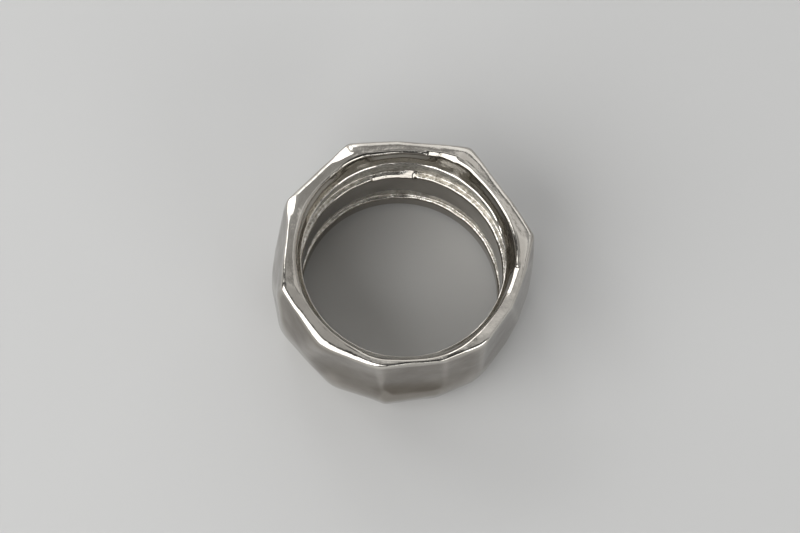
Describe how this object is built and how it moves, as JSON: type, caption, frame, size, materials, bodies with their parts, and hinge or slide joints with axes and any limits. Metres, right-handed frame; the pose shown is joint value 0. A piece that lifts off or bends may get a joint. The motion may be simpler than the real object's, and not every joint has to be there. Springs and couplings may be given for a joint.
{
  "type": "ring",
  "caption": "Wide cast silver ring with an uneven faceted outside, and a finger hole with polished lands between hollowed channels left as cast.",
  "frame": {"origin": "on the axis of the finger hole, in the plane that the ring rests on", "axes": "+Z along the finger hole, away from the resting face; +X and +Y across the band, with a thick corner of the top rim 15 degrees from +X towards +Y"},
  "size_m": [0.0246, 0.0239, 0.013],
  "materials": {
    "silver": "polished on the outside, rims and lands, and left as cast in the channels of the finger hole"
  },
  "bodies": {
    "root": {"ring_band": "silver"}
  },
  "joints": []
}
